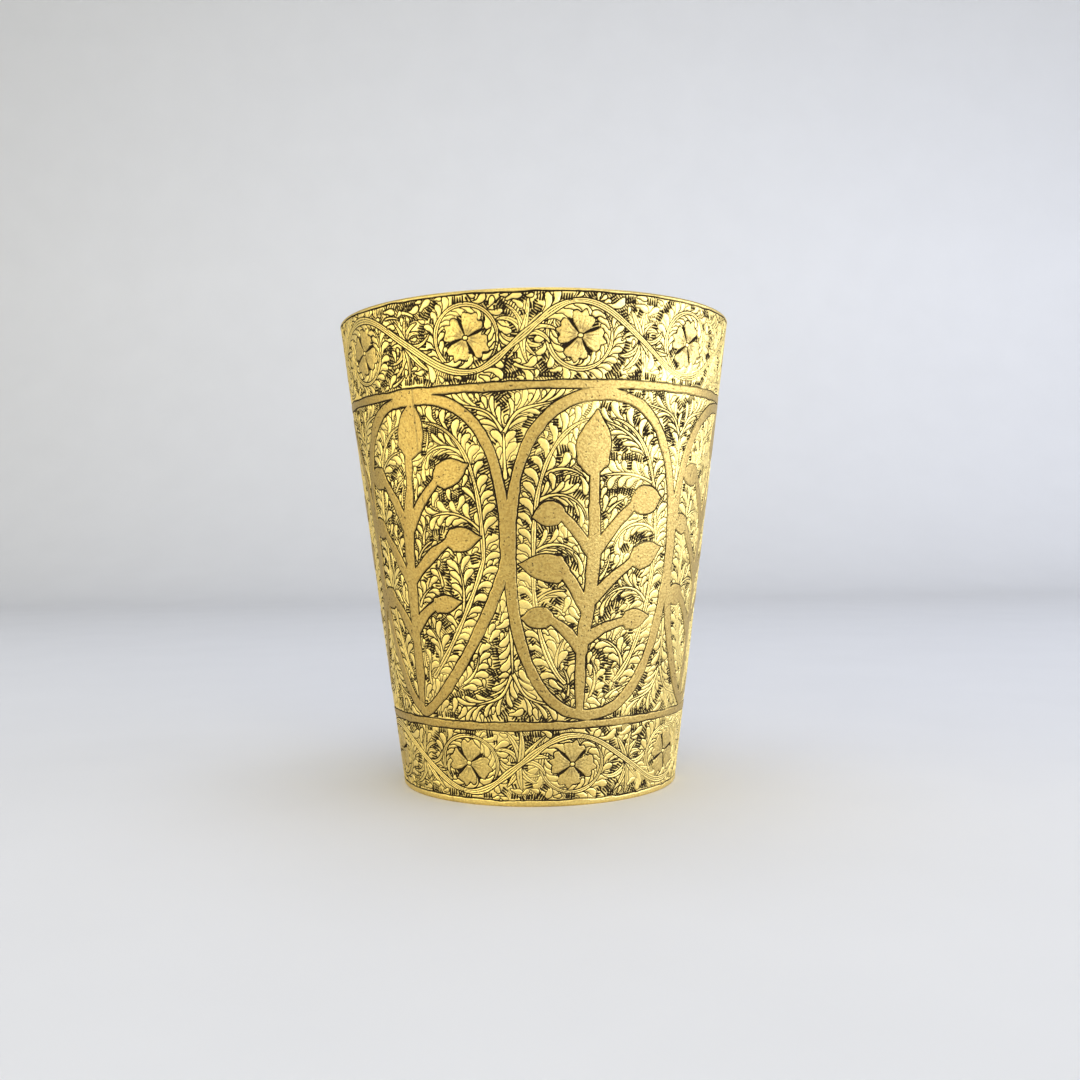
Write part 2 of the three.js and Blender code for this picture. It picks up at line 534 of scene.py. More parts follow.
# Side sprigs: (height of the fork, bud's angle and height, bud's length, width and heading).
SPRIGS_UPRIGHT = [
    (47.5, 12.2, 57.0, 4.9, 5.2, 4), (38.5, 12.6, 46.2, 5.5, 4.8, 22),
    (31.5, 10.0, 34.8, 4.7, 3.5, 3), (47.0, -12.8, 55.2, 4.0, 4.4, 190),
    (36.5, -11.6, 44.6, 6.6, 5.0, 174), (29.5, -15.8, 35.8, 4.2, 4.0, 176),
]
SPRIGS_LEANING = [
    (52.0, 7.0, 61.8, 5.5, 4.9, 16), (42.5, 9.2, 50.2, 5.4, 4.5, 4),
    (33.0, 1.2, 38.0, 5.2, 3.0, 10), (52.0, -17.0, 62.4, 4.8, 4.1, 180),
    (41.5, -21.0, 52.4, 4.0, 3.8, 160), (31.0, -20.2, 39.0, 4.0, 3.9, 172),
]

# Top buds: (angle and height of the base, length, width, heading).
TOP_BUD_UPRIGHT = (-2.9, 63.2, 10.2, 6.8, 86)
TOP_BUD_LEANING = (-2.9, 67.0, 9.8, 6.6, 78)
BUD_SWELL = [0.42, 0.88, 0.96, 0.72, 0.36, 0.05]

# Side buds are drawn this much longer and wider than typed above.
LONGER, WIDER = 1.22, 1.05


def bud_paths(root, length, width, heading):
    """A bud: a flat base with a shoulder to each side, and a body that runs out to a point."""
    spine = sweep(root, heading, length, 0, count=len(BUD_SWELL))
    body = smooth(np.column_stack([spine, width / 2 * np.array(BUD_SWELL)]), 16)
    paths = [body]
    for side in (-1, 1):
        corner = sweep(root, heading + side * 62, 0.36 * width, 0, count=2)[-1]
        shoulder = sweep(corner, heading - side * 14, 0.42 * length, -side * 12, count=4)
        paths.append(with_width(shoulder, 0.15 * width, 0.2 * width))
    return paths


def bush_paths(medallion):
    """The plain plant in the middle of a medallion: stem, top bud and side sprigs."""
    stem = np.array(STEM_LEANING if medallion.leaning else STEM_UPRIGHT)
    sprigs = SPRIGS_LEANING if medallion.leaning else SPRIGS_UPRIGHT
    top_bud = TOP_BUD_LEANING if medallion.leaning else TOP_BUD_UPRIGHT
    angle, z, length, width, heading = top_bud
    paths = [medallion.place(smooth(stem, 24))]
    paths += bud_paths(medallion.place([(angle, z)])[0], length, width, heading)
    for fork, bud_angle, bud_z, length, width, heading in sprigs:
        fork_angle = np.interp(fork, stem[:, 1], stem[:, 0])
        bend = (0.5 * fork_angle + 0.5 * bud_angle, 0.5 * fork + 0.5 * bud_z + 0.5)
        branch = smooth([(fork_angle, fork), bend, (bud_angle, bud_z)], 12)
        paths.append(medallion.place(with_width(branch, 1.15, 0.8)))
        root = medallion.place([(bud_angle, bud_z)])[0]
        paths += bud_paths(root, LONGER * length, WIDER * width, heading + medallion.rng.uniform(-5, 5))
    return paths


# Sprays off a medallion's vine: spacing, then the headings, lengths and bends to try.
SPRAY_SPACING = 4.6
SPRAY_HEADINGS = (12, 26, 42)
SPRAY_LENGTHS = (12.0, 9.0, 6.5, 4.8)
SPRAY_BENDS = (40, 80, 120)


def fill_medallion(medallion):
    """The two vines, the sprays that curl in from them round the buds, and their leaves."""
    rng = medallion.rng
    for vine, inward in zip(medallion.vines(), (1, -1)):
        bends = [inward * bend for bend in SPRAY_BENDS]
        for number, (angle, z, heading) in enumerate(evenly(vine, SPRAY_SPACING)):
            headings = [heading + inward * lean for lean in SPRAY_HEADINGS]
            spray = try_spray((angle, z), headings, SPRAY_LENGTHS, bends, rng)
            if spray is not None:
                draw_feather(spray, rng, kind=FERN if number % 2 else ROUND_HEADED, half_width=0.3)
        draw_feather(vine, rng, kind=VINE_LEAF, sides=(-inward,), comb_length=2.0, half_width=0.5, ribs=2,
                     crowding=1.0)


def fill_spandrel(angle, upward, rng):
    """The spray between two medallions: a stem up the middle, then one to each side along the band."""
    apex, fork, end = SPANDREL_ABOVE if upward else SPANDREL_BELOW
    middle = smooth([(angle, apex), (angle, (apex + fork) / 2), (angle, fork)], 9)
    for side in (-1, 1):
        turn = (angle + ARM_TURN * side, (fork + end) / 2 + (end - fork) * 0.2)
        arm = smooth([(angle, fork), turn, (angle + ARM_END * side, end)], 14)
        draw_feather(arm, rng, kind=FERN, half_width=0.34)
    draw_feather(middle, rng, half_width=0.36)


# ---- friezes ----

def ring_round(angle, z, half_wide, half_high, first, last, count=26):
    """Part of an oval scroll round a flower, half_wide in millimetres."""
    wide = math.degrees(half_wide / outer_radius(z))
    a = np.radians(np.linspace(first, last, count))
    return np.column_stack([angle + wide * np.cos(a), z + half_high * np.sin(a)])


# Notches between petals: their share of the petal, half width in degrees, and half widths of the cut in each.
NOTCH_DEPTH, NOTCH_WIDTH = 0.42, 12.0
PETAL_CUT = [0.08, 0.15, 0.22, 0.27, 0.24, 0.1]
PETAL_DOTS = 90


def draw_flower(angle, z, size, rng):
    """A four-petalled flower: lobed, stippled petals parted by deep diagonal cuts, with a small eye."""
    spot = np.array([[angle, z, 0.01, angle + 0.01, z, 0.01]])
    area, radius, _ = distance_to(spot, size + 1.5)
    rows, columns = area
    offset = (canvas_theta[columns] - math.radians(angle) + math.pi) % math.tau - math.pi
    tilt = rng.uniform(-32, -8)
    turn = np.arctan2(canvas_z[rows] - z, offset * canvas_radius[rows]) - math.radians(tilt)
    off_diagonal = np.degrees(np.abs(turn % (math.pi / 2) - math.pi / 4))
    notch = NOTCH_DEPTH * np.exp(-(off_diagonal / NOTCH_WIDTH)**2)
    phases = rng.uniform(-0.6, 0.6, 3)
    lobes = (0.075 * np.cos(12 * turn + phases[0]) + 0.05 * np.cos(3 * turn + phases[1])
             + 0.035 * np.cos(20 * turn + phases[2]))
    edge = size * (1 - notch + lobes)
    level = -0.03 - 0.1 * (radius / size - 0.6)**2
    lay(area, radius - edge, level, depth=0.28, width=0.2, dark=1.0, is_plain=0.55)
    for quarter in range(4):
        heading = 45 + tilt + 90 * quarter + rng.uniform(-6, 6)
        line = sweep((angle, z), heading, size * 0.86, rng.uniform(-18, 18))[1:]
        cut(segments(np.column_stack([line, PETAL_CUT])), depth=0.36, dark=1.0)
        for crease in (-1, 0, 1):
            vein = sweep((angle, z), heading + 45 + 17 * crease, size * rng.uniform(0.6, 0.8), 12 * crease)
            cut(segments(with_width(vein[2:], 0.07, 0.01)), depth=0.12, dark=0.5)
    for _ in range(PETAL_DOTS):
        dot = sweep((angle, z), rng.uniform(0, 360), size * rng.uniform(0.3, 0.9), 0, count=2)[-1]
        stroke = np.array([[dot[0], dot[1], 0.03, dot[0] + 0.1, dot[1] + 0.05, 0.03]])
        cut(stroke, depth=0.12, dark=0.7)
    shade = 0.26 * np.clip(1 - np.abs(radius - 0.3 * size) / 1.2, 0, 1) * (radius < edge)
    patina_and_shade[area] = np.maximum(patina_and_shade[area], shade)
    eye = np.array([[angle - 0.15, z, 0.34, angle + 0.15, z, 0.34]])
    area, distance, _ = distance_to(eye)
    lay(area, distance, level=-0.02, depth=0.2, width=0.18, dark=0.8)


# How far a fountain's leaves lean off its heading, and the lengths of the two at each crossing.
FOUNTAIN_SPREADS = (-105, 100, -66, 62, -24, 22)
LONG_FOUNTAIN, SHORT_FOUNTAIN = 7.4, 5.4


def draw_fountain(root, heading, length, rng):
    """Long ribbed leaves that rise together from one point and curl outwards, the middle one on top."""
    for spread in FOUNTAIN_SPREADS:
        own = length * (1 - 0.0015 * abs(spread)) * rng.uniform(0.9, 1.08)
        blade = sweep(root, heading + 0.3 * spread, own, spread + rng.uniform(-12, 12), count=10)
        draw_ribs(blade, rng.uniform(0.56, 0.68), 2)


def fill_frieze(flowers, z, half_high, size, seed):
    """A waving vine that passes over and under the flowers in turn, a scroll that closes each ring, and
    leaves off both. The flowers are listed from the back of the tumbler, where the vine's ends meet."""
    rng = np.random.default_rng(seed)
    gaps = np.diff(np.append(flowers, flowers[0] + 360))
    over = [1 if number % 2 == 0 else -1 for number in range(len(flowers))]
    crests = []
    for angle, gap, side in zip(flowers, gaps, over):
        shoulder = 0.78 * side * half_high
        crests += [(angle, z + side * half_high), (angle + 0.21 * gap, z + shoulder),
                   (angle + 0.5 * gap, z), (angle + 0.79 * gap, z - shoulder)]
    vine = smooth(crests + [(flowers[0] + 360, z + half_high)], 26 * len(flowers))
    for angle, side in zip(flowers, over):
        ring = ring_round(angle, z, size + RING_GAP, half_high * 0.97, 180 - 42 * side, 180 + 220 * side)
        draw_feather(ring, rng, kind=SMALL, half_width=0.42, ribs=2, crowding=0.3)
    for angle, gap, side in zip(flowers, gaps, over):
        node = (angle + gap / 2, z)
        draw_fountain(node, -side * 66, LONG_FOUNTAIN, rng)
        draw_fountain(node, 180 - side * 78, SHORT_FOUNTAIN, rng)
    draw_feather(vine, rng, kind=VINE_LEAF, half_width=0.72, ribs=3, crowding=0.3)
    for angle in flowers:
        for direction in range(0, 360, 33):
            off = size + COMB_GAP
            place = ring_round(angle, z, off, off, direction, direction, count=1)[0]
            draw_comb(place, direction, int(rng.integers(3, 5)), 0.9, rng, only_if_free=True)
        draw_flower(angle, z, size, rng)


def comb_row(z, seed, spacing=4.6):
    """Upright combs in a row round the wall, wherever the ground is still free."""
    rng = np.random.default_rng(seed)
    turn = math.degrees(spacing / outer_radius(z))
    for angle in np.arange(0, 360, turn):
        angle += rng.uniform(-0.35, 0.35) * turn
        draw_comb((angle, z), 90, int(rng.integers(3, 6)), rng.uniform(0.7, 1.2), rng, only_if_free=True)


# ---- leftover ground ----

def free_spots(low, high, per_mm2, rng):
    """Random (angle, height) places between two heights where nothing is drawn yet."""
    count = int(math.tau * outer_radius((low + high) / 2) * (high - low) * per_mm2)
    angles, heights = rng.uniform(0, 360, count), rng.uniform(low, high, count)
    rows = (heights / HEIGHT * (ROWS - 1)).astype(int)
    columns = ((np.radians(angles) - START) / STEP).astype(int) % COLUMNS
    for angle, z, row, column in zip(angles, heights, rows, columns):
        if not taken[row, column]:
            yield angle, z


# Tries per square millimetre at filling free ground, and leaves as (length, width, tries).
SPRAY_TRIES, COMB_TRIES = 0.5, 3.5
GROUND_LEAVES = [(2.4, 1.2, 1.5), (1.7, 1.0, 2.5), (1.1, 0.75, 4.5)]


def fill_ground(low, high, seed, flow):
    """Packs sprays, then single comma leaves, then combs into the ground still free between two heights.
    flow gives the direction leaves grow at an (angle, height)."""
    rng = np.random.default_rng(seed)
    for angle, z in free_spots(low, high, SPRAY_TRIES, rng):
        spray = try_spray((angle, z), [flow(angle, z) + a for a in (-35, 0, 35)], (7.0, 5.2, 3.8),
                          (-60, 60), rng, half_corridor=0.7)
        if spray is not None and low < spray[:, 1].min() and spray[:, 1].max() < high:
            draw_feather(spray, rng, kind=SMALL, half_width=0.28)
    for length, width, per_mm2 in GROUND_LEAVES:
        for angle, z in free_spots(low, high, per_mm2, rng):
            heading = flow(angle, z) + rng.uniform(-50, 50)
            leaf = comma_path((angle, z), heading, length, width, rng.choice([-1, 1]) * rng.uniform(20, 55))
            if low < leaf[:, 1].min() and leaf[:, 1].max() < high and room_for(leaf, 0.1):
                draw_comma(leaf)
    for angle, z in free_spots(low, high, COMB_TRIES, rng):
        heading = flow(angle, z) + rng.choice([-1, 1]) * rng.uniform(55, 95)
        draw_comb((angle, z), heading, int(rng.integers(2, 4)), rng.uniform(0.6, 1.1), rng,
                  only_if_free=True)


def medallion_flow(angle, z):
    """Leaves fan out and up from the foot of the nearest medallion's stem."""
    edges = np.array(BORDERS + [BORDERS[0] + 360])
    angle = (angle - edges[0]) % 360 + edges[0]
    number = np.searchsorted(edges, angle) - 1
    centre = (edges[number] + edges[number + 1]) / 2
    across = math.radians(angle - centre) * outer_radius(z)
    return math.degrees(math.atan2(z - 8, across))


def frieze_flow(angle, z):
    """Leaves lean to the right, more or less upright by turns round the wall."""
    return 25 + 30 * math.sin(math.radians(angle * 5))


# ---- the whole engraving ----

def band_edges():
    """Signed distance to the plain bands and margins, whose edges wander as a hand-cut line does."""
    drift = BAND_WANDER * noise(60.0, seed=5)[ROWS // 2]
    z = canvas_z[:, None]
    upper = np.abs(z - UPPER_BAND - drift) - BAND_HALF
    lower = np.abs(z - LOWER_BAND - 0.6 * drift) - BAND_HALF
    margins = np.minimum(LIP_MARGIN - z, z - FOOT_MARGIN)
    return np.minimum(np.minimum(upper, lower), margins)


def engrave():
    """Draws the whole decoration on the canvas. The plain shapes are marked out first, so that the leaves
    keep clear of them, and laid last, so that their edges are clean."""
    hatch_the_ground()
    edges = BORDERS + [BORDERS[0] + 360]
    medallions = [Medallion(edges[k], edges[k + 1], k % 2 == 0, seed=100 + k) for k in range(6)]
    plain_paths = [m.border() for m in medallions]
    for medallion in medallions:
        plain_paths += bush_paths(medallion)
    plain_distance = np.minimum(union_distance(plain_paths), band_edges())
    plain_distance += 0.16 * noise(3.2, seed=6) + 0.08 * noise(1.1, seed=8)
    taken[plain_distance < PLAIN_CLEAR] = 1

    rng = np.random.default_rng(seed=7)
    top_middle = (LIP_MARGIN + UPPER_BAND + BAND_HALF) / 2
    foot_middle = (FOOT_MARGIN + LOWER_BAND - BAND_HALF) / 2
    for medallion in medallions:
        fill_medallion(medallion)
    for angle in BORDERS:
        fill_spandrel(angle, True, rng)
        fill_spandrel(angle, False, rng)
    fill_frieze(TOP_FLOWERS, top_middle, TOP_SWING, TOP_PETAL, seed=21)
    fill_frieze(FOOT_FLOWERS, foot_middle, FOOT_SWING, FOOT_PETAL, seed=22)
    rows_of_combs = [LIP_MARGIN - LIP_ROW_GAP]
    for band in (UPPER_BAND, LOWER_BAND):
        rows_of_combs += [band + BAND_HALF + ROW_GAP, band - BAND_HALF - ROW_GAP]
    rows_of_combs.append(FOOT_MARGIN + ROW_GAP)
    for number, z in enumerate(rows_of_combs):
        comb_row(z, seed=40 + number)
    fill_ground(UPPER_BAND + BAND_HALF, LIP_MARGIN, seed=31, flow=frieze_flow)
    fill_ground(LOWER_BAND + BAND_HALF, UPPER_BAND - BAND_HALF, seed=32, flow=medallion_flow)
    fill_ground(FOOT_MARGIN, LOWER_BAND - BAND_HALF, seed=33, flow=frieze_flow)
    everywhere = np.ix_(np.arange(ROWS), np.arange(COLUMNS))
    lay(everywhere, plain_distance, level=0.0, depth=0.3, width=0.22, dark=1.0, is_plain=1.0)
    plain[(canvas_z > LIP_MARGIN) | (canvas_z < FOOT_MARGIN)] = WORN_EDGE


# ---- meshes ----

def make_object(name, vertices, faces_flat, face_sizes, material, uv=None, attributes=None):
    """A mesh object from arrays: vertices in millimetres, and each face's corners one after another."""
    mesh = bpy.data.meshes.new(name)
    mesh.vertices.add(len(vertices))
    mesh.vertices.foreach_set("co", (np.asarray(vertices) * MM).astype(np.float32).ravel())
    mesh.loops.add(len(faces_flat))
    mesh.loops.foreach_set("vertex_index", faces_flat.astype(np.int32))
    starts = np.concatenate([[0], np.cumsum(face_sizes)[:-1]]).astype(np.int32)
    mesh.polygons.add(len(face_sizes))
    mesh.polygons.foreach_set("loop_start", starts)
    mesh.update(calc_edges=True)
    if uv is not None:
        layer = mesh.uv_layers.new(name="OFBake")
        layer.data.foreach_set("uv", uv[faces_flat].astype(np.float32).ravel())
    for key, values in (attributes or {}).items():
        attribute = mesh.attributes.new(key, "FLOAT", "POINT")
        attribute.data.foreach_set("value", np.asarray(values, np.float32).ravel())
    mesh.shade_smooth()
    mesh.materials.append(material)
    piece = bpy.data.objects.new(name, mesh)
    bpy.context.scene.collection.objects.link(piece)
    return piece


def corner_arc(r, z, radius, first, last, count=6):
    """Points of an arc about (r, z), from one direction to another in degrees."""
    a = np.radians(np.linspace(first, last, count))
    return np.column_stack([r + radius * np.cos(a), z + radius * np.sin(a)])


# Outside rows to one inside row, and how far up the texture the outside ends and the rest starts.
ROWS_TO_ONE_INSIDE = 6
OUTSIDE_ENDS, REST_STARTS = 0.74, 0.75


def shell(name, columns, material, squeeze=0.0):
    """A stretch of the wall between two canvas columns, as one closed solid. squeeze narrows it a little
    at both ends, in millimetres, to keep it clear of its neighbour."""
    outside_rows = np.flatnonzero((canvas_z > FOOT_ROUNDING) & (canvas_z < HEIGHT - LIP_ROUNDING))
    inside_count = len(outside_rows) // ROWS_TO_ONE_INSIDE
    lip_z, foot_z = HEIGHT - LIP_ROUNDING, FOOT_ROUNDING
    over_lip = np.vstack([
        corner_arc(outer_radius(lip_z) - LIP_ROUNDING, lip_z, LIP_ROUNDING, 0, 90),
        corner_arc(inner_radius(lip_z) + LIP_ROUNDING, lip_z, LIP_ROUNDING, 90, 180)])
    inside_z = np.linspace(lip_z, 0, inside_count + 2)[1:]
    inside = np.column_stack([inner_radius(inside_z), inside_z])
    under_foot = corner_arc(outer_radius(foot_z) - FOOT_ROUNDING, foot_z, FOOT_ROUNDING, -90, 0)
    outside = np.column_stack([canvas_radius[outside_rows], canvas_z[outside_rows]])
    profile = np.vstack([outside, over_lip, inside, under_foot])

    count, width = len(profile), len(columns)
    wrapped = columns % COLUMNS
    push = np.zeros((count, width))
    push[:len(outside)] = np.minimum(relief[outside_rows][:, wrapped], 0)
    radius = profile[:, :1] + push * math.cos(TILT)
    height = profile[:, 1:] + push * -math.sin(TILT)
    full = outer_radius(profile[:, 1:])
    scarf = (full - profile[:, :1] - WALL_ACROSS / 2) / full
    theta = START + STEP * columns[None, :] - scarf
    theta[:, 0] += squeeze / full[:, 0]
    theta[:, -1] -= squeeze / full[:, 0]
    vertices = np.stack([radius * np.sin(theta), -radius * np.cos(theta),
                         np.broadcast_to(height, radius.shape)], -1).reshape(-1, 3)

    index = np.arange(count * width).reshape(count, width)
    after = np.roll(index, -1, 0)
    quads = np.stack([index[:, :-1], index[:, 1:], after[:, 1:], after[:, :-1]], -1).reshape(-1, 4)
    start_cap, end_cap = index[::-1, 0], index[:, -1]
    flat = np.concatenate([quads.ravel(), start_cap, end_cap])
    sizes = np.concatenate([np.full(len(quads), 4), [count, count]])

    dark = np.zeros((count, width))
    dark[:len(outside)] = patina_and_shade[outside_rows][:, wrapped]
    smoothness = np.full((count, width), WORN_EDGE)
    smoothness[:len(outside)] = plain[outside_rows][:, wrapped]
    indoors = np.zeros((count, width))
    indoors[len(outside) + len(over_lip) - 1:count - len(under_foot)] = 1
    smoothness[indoors > 0] = 1
    travel = np.concatenate([np.linspace(0, OUTSIDE_ENDS, len(outside)),
                             np.linspace(REST_STARTS, 1, count - len(outside))])
    uv = np.stack(np.broadcast_arrays(columns[None, :] / COLUMNS, travel[:, None]), -1).reshape(-1, 2)
    return make_object(name, vertices, flat, sizes, material, uv,
                       {"patina_and_shade": dark, "plain": smoothness, "indoors": indoors})


def lathe(name, profile, material, around=480, wobble=None):
    """A closed profile of (radius, height) points turned about the axis."""
    profile = np.asarray(profile, float)
    theta = np.linspace(0, math.tau, around, endpoint=False)
    count = len(profile)
    radius = np.repeat(profile[:, :1], around, 1)
    height = np.repeat(profile[:, 1:], around, 1)
    if wobble is not None:
        radius, height = wobble(radius, height, theta[None, :])
    vertices = np.stack([radius * np.sin(theta), -radius * np.cos(theta), height], -1).reshape(-1, 3)
    index = np.arange(count * around).reshape(count, around)
    right = np.roll(index, -1, 1)
    flat, sizes = [], []
    on_axis = profile[:, 0] < 1e-6
    for row in range(count):
        below = (row + 1) % count
        if on_axis[row] and on_axis[below]:
            continue
        if on_axis[row]:
            faces = np.stack([np.full(around, index[row, 0]), right[below], index[below]], -1)
        elif on_axis[below]:
            faces = np.stack([index[row], right[row], np.full(around, index[below, 0])], -1)
        else:
            faces = np.stack([index[row], right[row], right[below], index[below]], -1)
        flat.append(faces.ravel())
        sizes.append(np.full(len(faces), faces.shape[1]))
    flat, sizes = np.concatenate(flat), np.concatenate(sizes)
    used, flat = np.unique(flat, return_inverse=True)
    return make_object(name, vertices[used], flat, sizes, material)


# Dents from planishing: how many, how far out, and their radius and depth.
DENTS, DENTS_REACH = 90, 27
DENT_RADIUS = (2.5, 4.0)
DENT_DEPTH = 0.07


def hammered(radius, height, theta):
    """Shallow overlapping dents from planishing, on the flat faces only."""
    rng = np.random.default_rng(3)
    x, y = radius * np.sin(theta), radius * np.cos(theta)
    dents = np.zeros_like(x)
    for _ in range(DENTS):
        spot_r, spot_a = DENTS_REACH * math.sqrt(rng.uniform()), rng.uniform(0, math.tau)
        off = np.hypot(x - spot_r * math.sin(spot_a), y - spot_r * math.cos(spot_a))
        dents = np.maximum(dents, np.clip(1 - (off / rng.uniform(*DENT_RADIUS))**2, 0, 1))
    inward = np.where(height > (DISC_TOP + DISC_BOTTOM) / 2, -1, 1)
    edge = np.clip((radius.max() - radius) / 1.5, 0, 1)
    return radius, height + DENT_DEPTH * dents * inward * edge


def lumpy(radius, height, theta):
    """Alloy that ran and froze: a slow ripple along the fillets, never past the clean profile."""
    ripple = 0.5 + 0.25 * np.sin(7 * theta) + 0.15 * np.sin(23 * theta + 1) + 0.1 * np.sin(41 * theta + 2)
    inner = np.clip((radius.max() - radius) / FILLET, 0, 1)
    middle = (DISC_TOP + DISC_BOTTOM) / 2
    return radius, height - np.sign(height - middle) * 0.06 * ripple * inner


def disc_profile():
    """The disc's section: two flat faces, with enough points across them to be hammered."""
    steps = 60
    under = np.column_stack([np.linspace(0, disc_edge(DISC_BOTTOM), steps), np.full(steps, DISC_BOTTOM)])
    over = np.column_stack([np.linspace(disc_edge(DISC_TOP), 0, steps), np.full(steps, DISC_TOP)])
    return np.vstack([under, over])[::-1]


def braze_profile():
    """The ring's section: against the wall, round the disc's edge, and a hollow fillet above and below."""
    above, below = DISC_TOP + CLEAR, DISC_BOTTOM - CLEAR
    t = np.linspace(0, 1, 8)
    hollow = 0.35 * FILLET * np.sin(math.pi * t)
    wall = inner_radius(above + FILLET) - CLEAR
    upper = np.column_stack([wall - (FILLET + DISC_GAP) * t + hollow * 0.7,
                             above + FILLET * (1 - t) - hollow * 0.7])
    upper[:, 1] = np.maximum(upper[:, 1], above)
    lower = np.column_stack([upper[::-1, 0] - TAPER * (above - below), below - (upper[::-1, 1] - above)])
    middle = np.array([[disc_edge(DISC_TOP) + CLEAR, above], [disc_edge(DISC_BOTTOM) + CLEAR, below]])
    return np.vstack([upper, middle, lower])[::-1]


# ---- materials ----

class Nodes:
    """Small helper that adds and links shader nodes."""

    def __init__(self, name):
        self.material = bpy.data.materials.new(name)
        self.material.use_nodes = True
        self.tree = self.material.node_tree
        self.shader = self.tree.nodes["Principled BSDF"]

    def add(self, kind, settings=None, **inputs):
        node = self.tree.nodes.new(kind)
        for key, value in (settings or {}).items():
            setattr(node, key, value)
        return self.give(node, **inputs)

    def give(self, node, **inputs):
        """Feeds inputs by name, with _ for each space."""
        for key, value in inputs.items():
            self.feed(node.inputs[key.replace("_", " ")], value)
        return node

    def feed(self, socket, value):
        if isinstance(value, bpy.types.NodeSocket):
            self.tree.links.new(value, socket)
        else:
            socket.default_value = value

    def attribute(self, name):
        return self.add("ShaderNodeAttribute", {"attribute_name": name}).outputs["Fac"]

    def noise(self, feature, detail=3.0):
        """Noise with features about feature millimetres across."""
        place = self.add("ShaderNodeTexCoord").outputs["Object"]
        node = self.add("ShaderNodeTexNoise", Vector=place, Scale=1 / (feature * MM), Detail=detail)
        return node.outputs["Fac"]

    def ramp(self, value, low, high):
        return self.add("ShaderNodeMapRange", Value=value, From_Min=low, From_Max=high).outputs["Result"]

    def mix(self, share, a, b):
        node = self.add("ShaderNodeMix", {"data_type": "RGBA"})
        self.feed(node.inputs[0], share)
        self.feed(node.inputs[6], a)
        self.feed(node.inputs[7], b)
        return node.outputs[2]

    def blend(self, share, a, b):
        node = self.add("ShaderNodeMix")
        self.feed(node.inputs[0], share)
        self.feed(node.inputs[2], a)
        self.feed(node.inputs[3], b)
        return node.outputs[0]

    def bump(self, height, distance, strength=0.5):
        node = self.add("ShaderNodeBump", Height=height, Strength=strength, Distance=distance * MM)
        self.give(self.shader, Normal=node.outputs["Normal"])


BRIGHT = (1.0, 0.78, 0.26, 1)
SATIN = (0.54, 0.395, 0.122, 1)
AGED = (0.36, 0.235, 0.065, 1)
PATINA = (0.020, 0.013, 0.006, 1)
FLOOR_PALE, FLOOR_PALER = (0.70, 0.70, 0.70, 1), (0.74, 0.74, 0.74, 1)


def engraved_brass():
    """Bright where the graver cut, satin where the sheet was left, and near black deep in the cuts."""
    n = Nodes("engraved_brass")
    cloud = n.ramp(n.noise(14.0), 0.35, 0.68)
    grain = n.noise(0.42, detail=2.0)
    pits = n.ramp(n.noise(0.5, detail=1.0), 0.66, 0.73)
    plain_share = n.attribute("plain")
    sheet = n.mix(plain_share, BRIGHT, SATIN)
    sheet = n.mix(n.blend(cloud, 0.0, 0.3), sheet, AGED)
    sheet = n.mix(n.attribute("indoors"), sheet, AGED)
    speckle = n.ramp(grain, 0.4, 0.6)
    sheet = n.mix(n.blend(speckle, 0.0, n.blend(plain_share, 0.1, 0.75)), sheet, AGED)
    # Dark patina in the cuts, with the painted shade that the canvas carries.
    dark = n.ramp(n.attribute("patina_and_shade"), 0.1, 0.62)
    pitted = n.blend(n.attribute("indoors"), plain_share, 0.3)
    dark = n.blend(n.blend(pitted, 0.0, pits), dark, 0.8)
    worn = n.blend(plain_share, 0.4, 0.46)
    worn = n.blend(n.blend(cloud, 0.0, 0.3), worn, 0.6)
    n.give(n.shader, Base_Color=n.mix(dark, sheet, PATINA), Metallic=n.blend(dark, 1.0, 0.1),
           Specular_IOR_Level=n.blend(dark, 0.5, 0.1), Roughness=n.blend(dark, worn, 0.8))
    n.bump(grain, 0.09, 0.7)
    return n.material


def dull_brass(name, colour, feature, roughness):
    """Brass that is handled little: mottled tarnish over a fine grain."""
    n = Nodes(name)
    mottle = n.ramp(n.noise(feature), 0.35, 0.7)
    grain = n.noise(0.3, detail=4.0)
    n.give(n.shader, Base_Color=n.mix(n.blend(mottle, 0.1, 0.7), colour, AGED), Metallic=1.0,
           Roughness=n.blend(mottle, roughness, roughness + 0.15))
    n.bump(grain, 0.03, 0.4)
    return n.material


def pale_floor():
    n = Nodes("pale_floor")
    n.give(n.shader, Base_Color=n.mix(n.noise(40.0), FLOOR_PALE, FLOOR_PALER), Roughness=0.8)
    return n.material


# ---- stage ----

def make_floor():
    """A pale floor that sweeps up behind the tumbler."""
    half_wide, front, back, bend, top = 6000.0, -6000.0, 700.0, 350.0, 2500.0
    sweep_up = corner_arc(back, bend, bend, -90, 0, 16)
    line = np.vstack([[front, 0], sweep_up, [back + bend, top]])
    vertices = np.vstack([[(-half_wide, y, z), (half_wide, y, z)] for y, z in line])
    first = 2 * np.arange(len(line) - 1)
    quads = np.stack([first, first + 1, first + 3, first + 2], -1)
    floor = make_object("floor", vertices, quads.ravel(), np.full(len(quads), 4), pale_floor())


def soft_light(name, place, wide, high, power, colour):
    """A large lamp at a place in metres, aimed at the tumbler's middle."""
    lamp = bpy.data.lights.new(name, "AREA")
    lamp.shape = "RECTANGLE"
    lamp.size, lamp.size_y, lamp.energy, lamp.color = wide, high, power, colour
    holder = bpy.data.objects.new(name, lamp)
    bpy.context.scene.collection.objects.link(holder)
    holder.location = place
    aim = np.array([0, 0, HEIGHT * MM / 2]) - np.array(place)
    holder.rotation_euler = Vector(aim).to_track_quat("-Z", "Y").to_euler()


WARM, COOL = (1.0, 0.93, 0.67), (0.74, 0.80, 1.0)
ROOM, ROOM_STRENGTH = (0.9, 0.92, 0.95, 1), 0.42


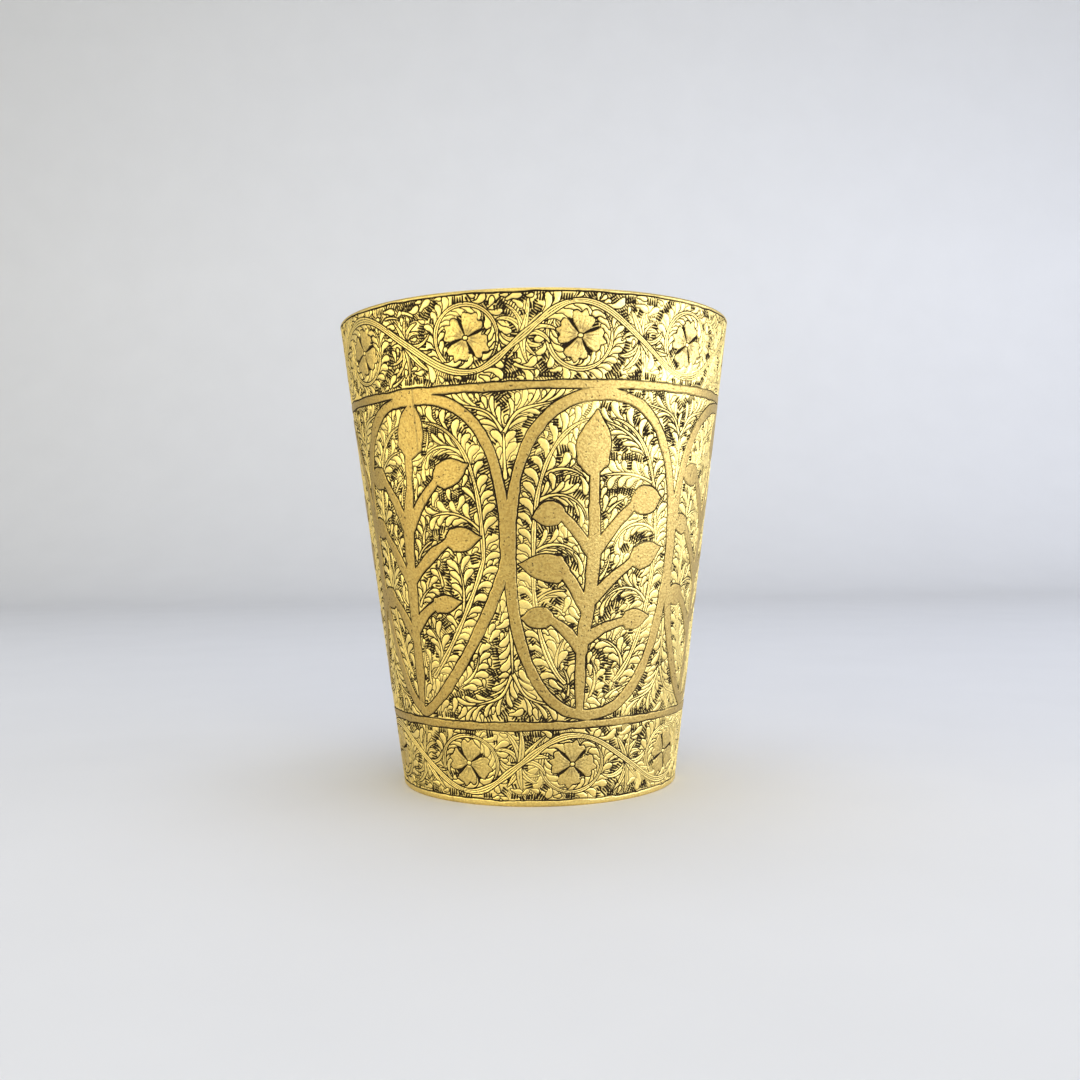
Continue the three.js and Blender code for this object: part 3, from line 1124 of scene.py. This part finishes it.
def make_lights():
    """A cool window to the right, weaker warm lamps left and front, a cool ceiling and an even pale room."""
    soft_light("window", (0.85, -0.30, 0.13), 1.6, 0.24, 12.8, COOL)
    soft_light("lamp", (-0.80, -0.42, 0.13), 1.2, 0.24, 5.2, WARM)
    soft_light("front", (0.10, -1.0, 0.45), 0.8, 0.8, 5.1, WARM)
    soft_light("ceiling", (0.0, 0.1, 0.9), 0.7, 0.7, 3.6, COOL)
    world = bpy.data.worlds.new("pale_room")
    world.use_nodes = True
    background = world.node_tree.nodes["Background"]
    background.inputs["Color"].default_value = ROOM
    background.inputs["Strength"].default_value = ROOM_STRENGTH
    bpy.context.scene.world = world
    bpy.context.scene.view_settings.view_transform = "Standard"


# Distance and height as shares of the tumbler's height, offset and lens in millimetres, roll in radians.
CAMERA_DISTANCE = 2.5416
CAMERA_HEIGHT = 0.5279
CAMERA_ACROSS = 0.7
CAMERA_LENS = 37.83
CAMERA_ROLL = 0.0135


def make_camera():
    """Level with the middle of the tumbler and close to it, rolled a little."""
    data = bpy.data.cameras.new("camera")
    data.lens, data.sensor_width, data.clip_start = CAMERA_LENS, 36.0, 0.01
    camera = bpy.data.objects.new("camera", data)
    bpy.context.scene.collection.objects.link(camera)
    camera.location = (CAMERA_ACROSS * MM, -CAMERA_DISTANCE * HEIGHT * MM, CAMERA_HEIGHT * HEIGHT * MM)
    camera.rotation_euler = (math.pi / 2, CAMERA_ROLL, 0)
    bpy.context.scene.camera = camera


# ---- assembly ----

def stand_for(piece, node):
    """Puts a piece in place of a CAD node: hangs it under the root and hides the node."""
    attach(piece, "root")
    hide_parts(node)


engrave()
wall_brass = engraved_brass()
seam_columns = np.arange(COLUMNS - SEAM_CELLS, COLUMNS + 1)
stand_for(shell("engraved_wall", np.arange(COLUMNS - SEAM_CELLS + 1), wall_brass), "body_wall")
stand_for(shell("seam_line", seam_columns, wall_brass, squeeze=SEAM_SQUEEZE), "seam_braze")
stand_for(lathe("base_plate", disc_profile(), dull_brass("base_brass", SATIN, 6.0, 0.45), wobble=hammered),
          "base_disc")
stand_for(lathe("base_fillet", braze_profile(), dull_brass("braze", AGED, 3.0, 0.5), wobble=lumpy),
          "base_braze")

make_floor()
make_lights()
make_camera()
